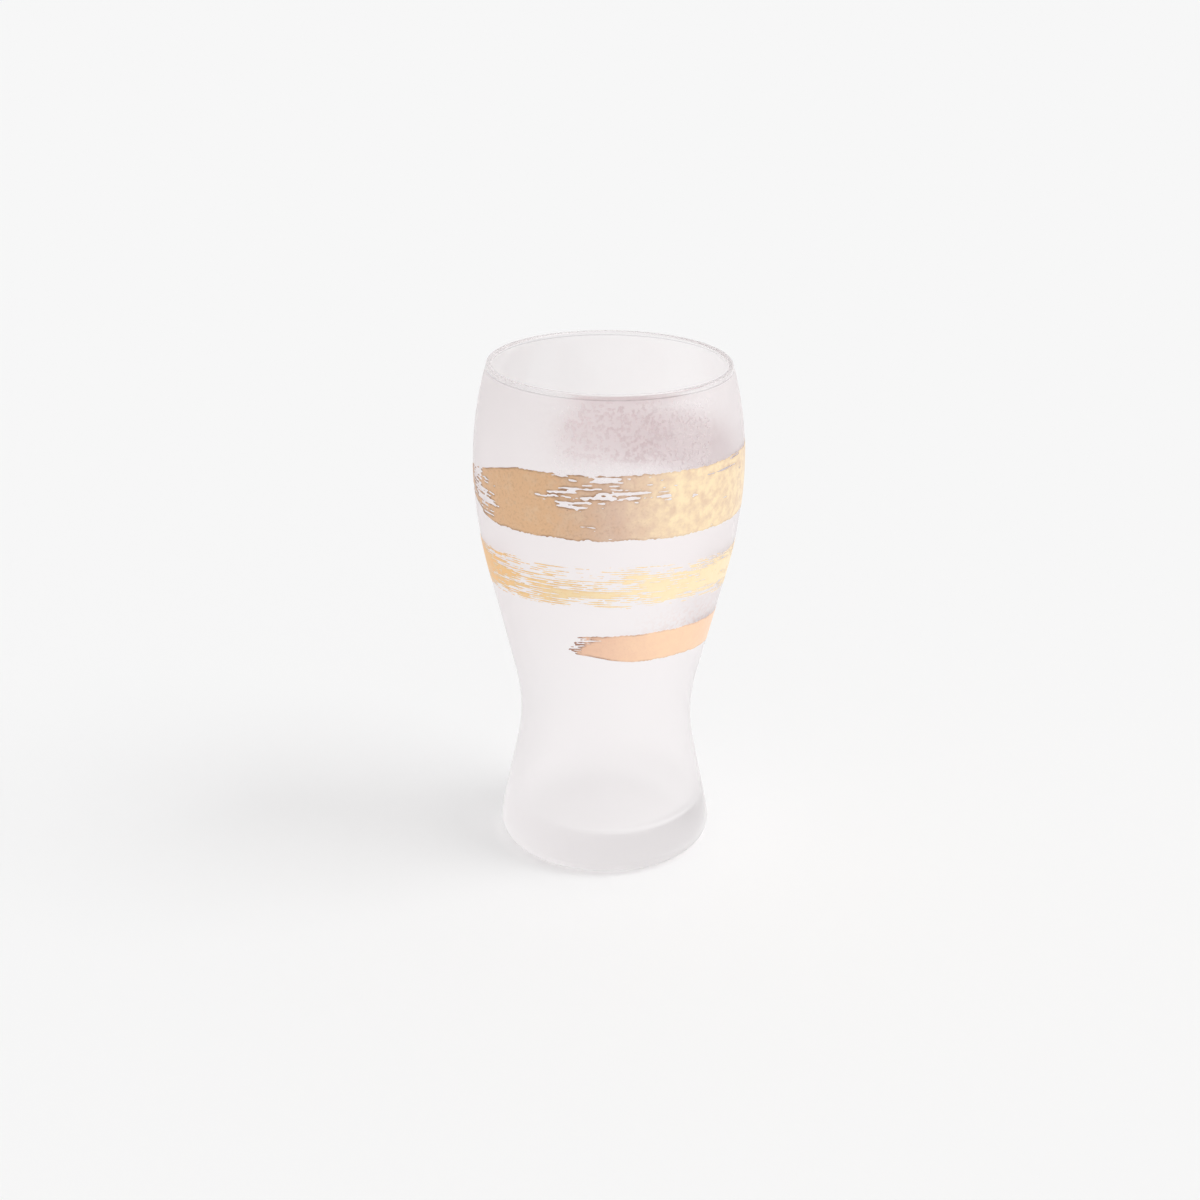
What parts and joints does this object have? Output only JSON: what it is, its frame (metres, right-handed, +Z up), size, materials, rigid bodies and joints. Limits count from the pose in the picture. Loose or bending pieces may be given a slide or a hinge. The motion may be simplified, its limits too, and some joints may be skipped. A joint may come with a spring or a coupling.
{
  "type": "beer glass",
  "caption": "Waisted beer tumbler with a round belly, drawn-in rim, thick round foot, frosted wall and brushed gold bands.",
  "frame": {"origin": "middle of the foot ring, on the table", "axes": "+Z up along the axis of the glass, -Y is the front, where the lower gold band starts"},
  "size_m": [0.0709, 0.0708, 0.134],
  "materials": {
    "frosted_glass": "frosted outside, clear lip and inside",
    "bronze_gold": "satin lustre with a dry brush edge",
    "pale_gold": "satin lustre, brushed nearly dry",
    "rose_gold": "satin lustre with a brush tip"
  },
  "bodies": {
    "root": {"glass_body": "frosted_glass", "gold_band_upper": "bronze_gold", "gold_band_middle": "pale_gold", "gold_band_lower": "rose_gold"}
  },
  "joints": []
}
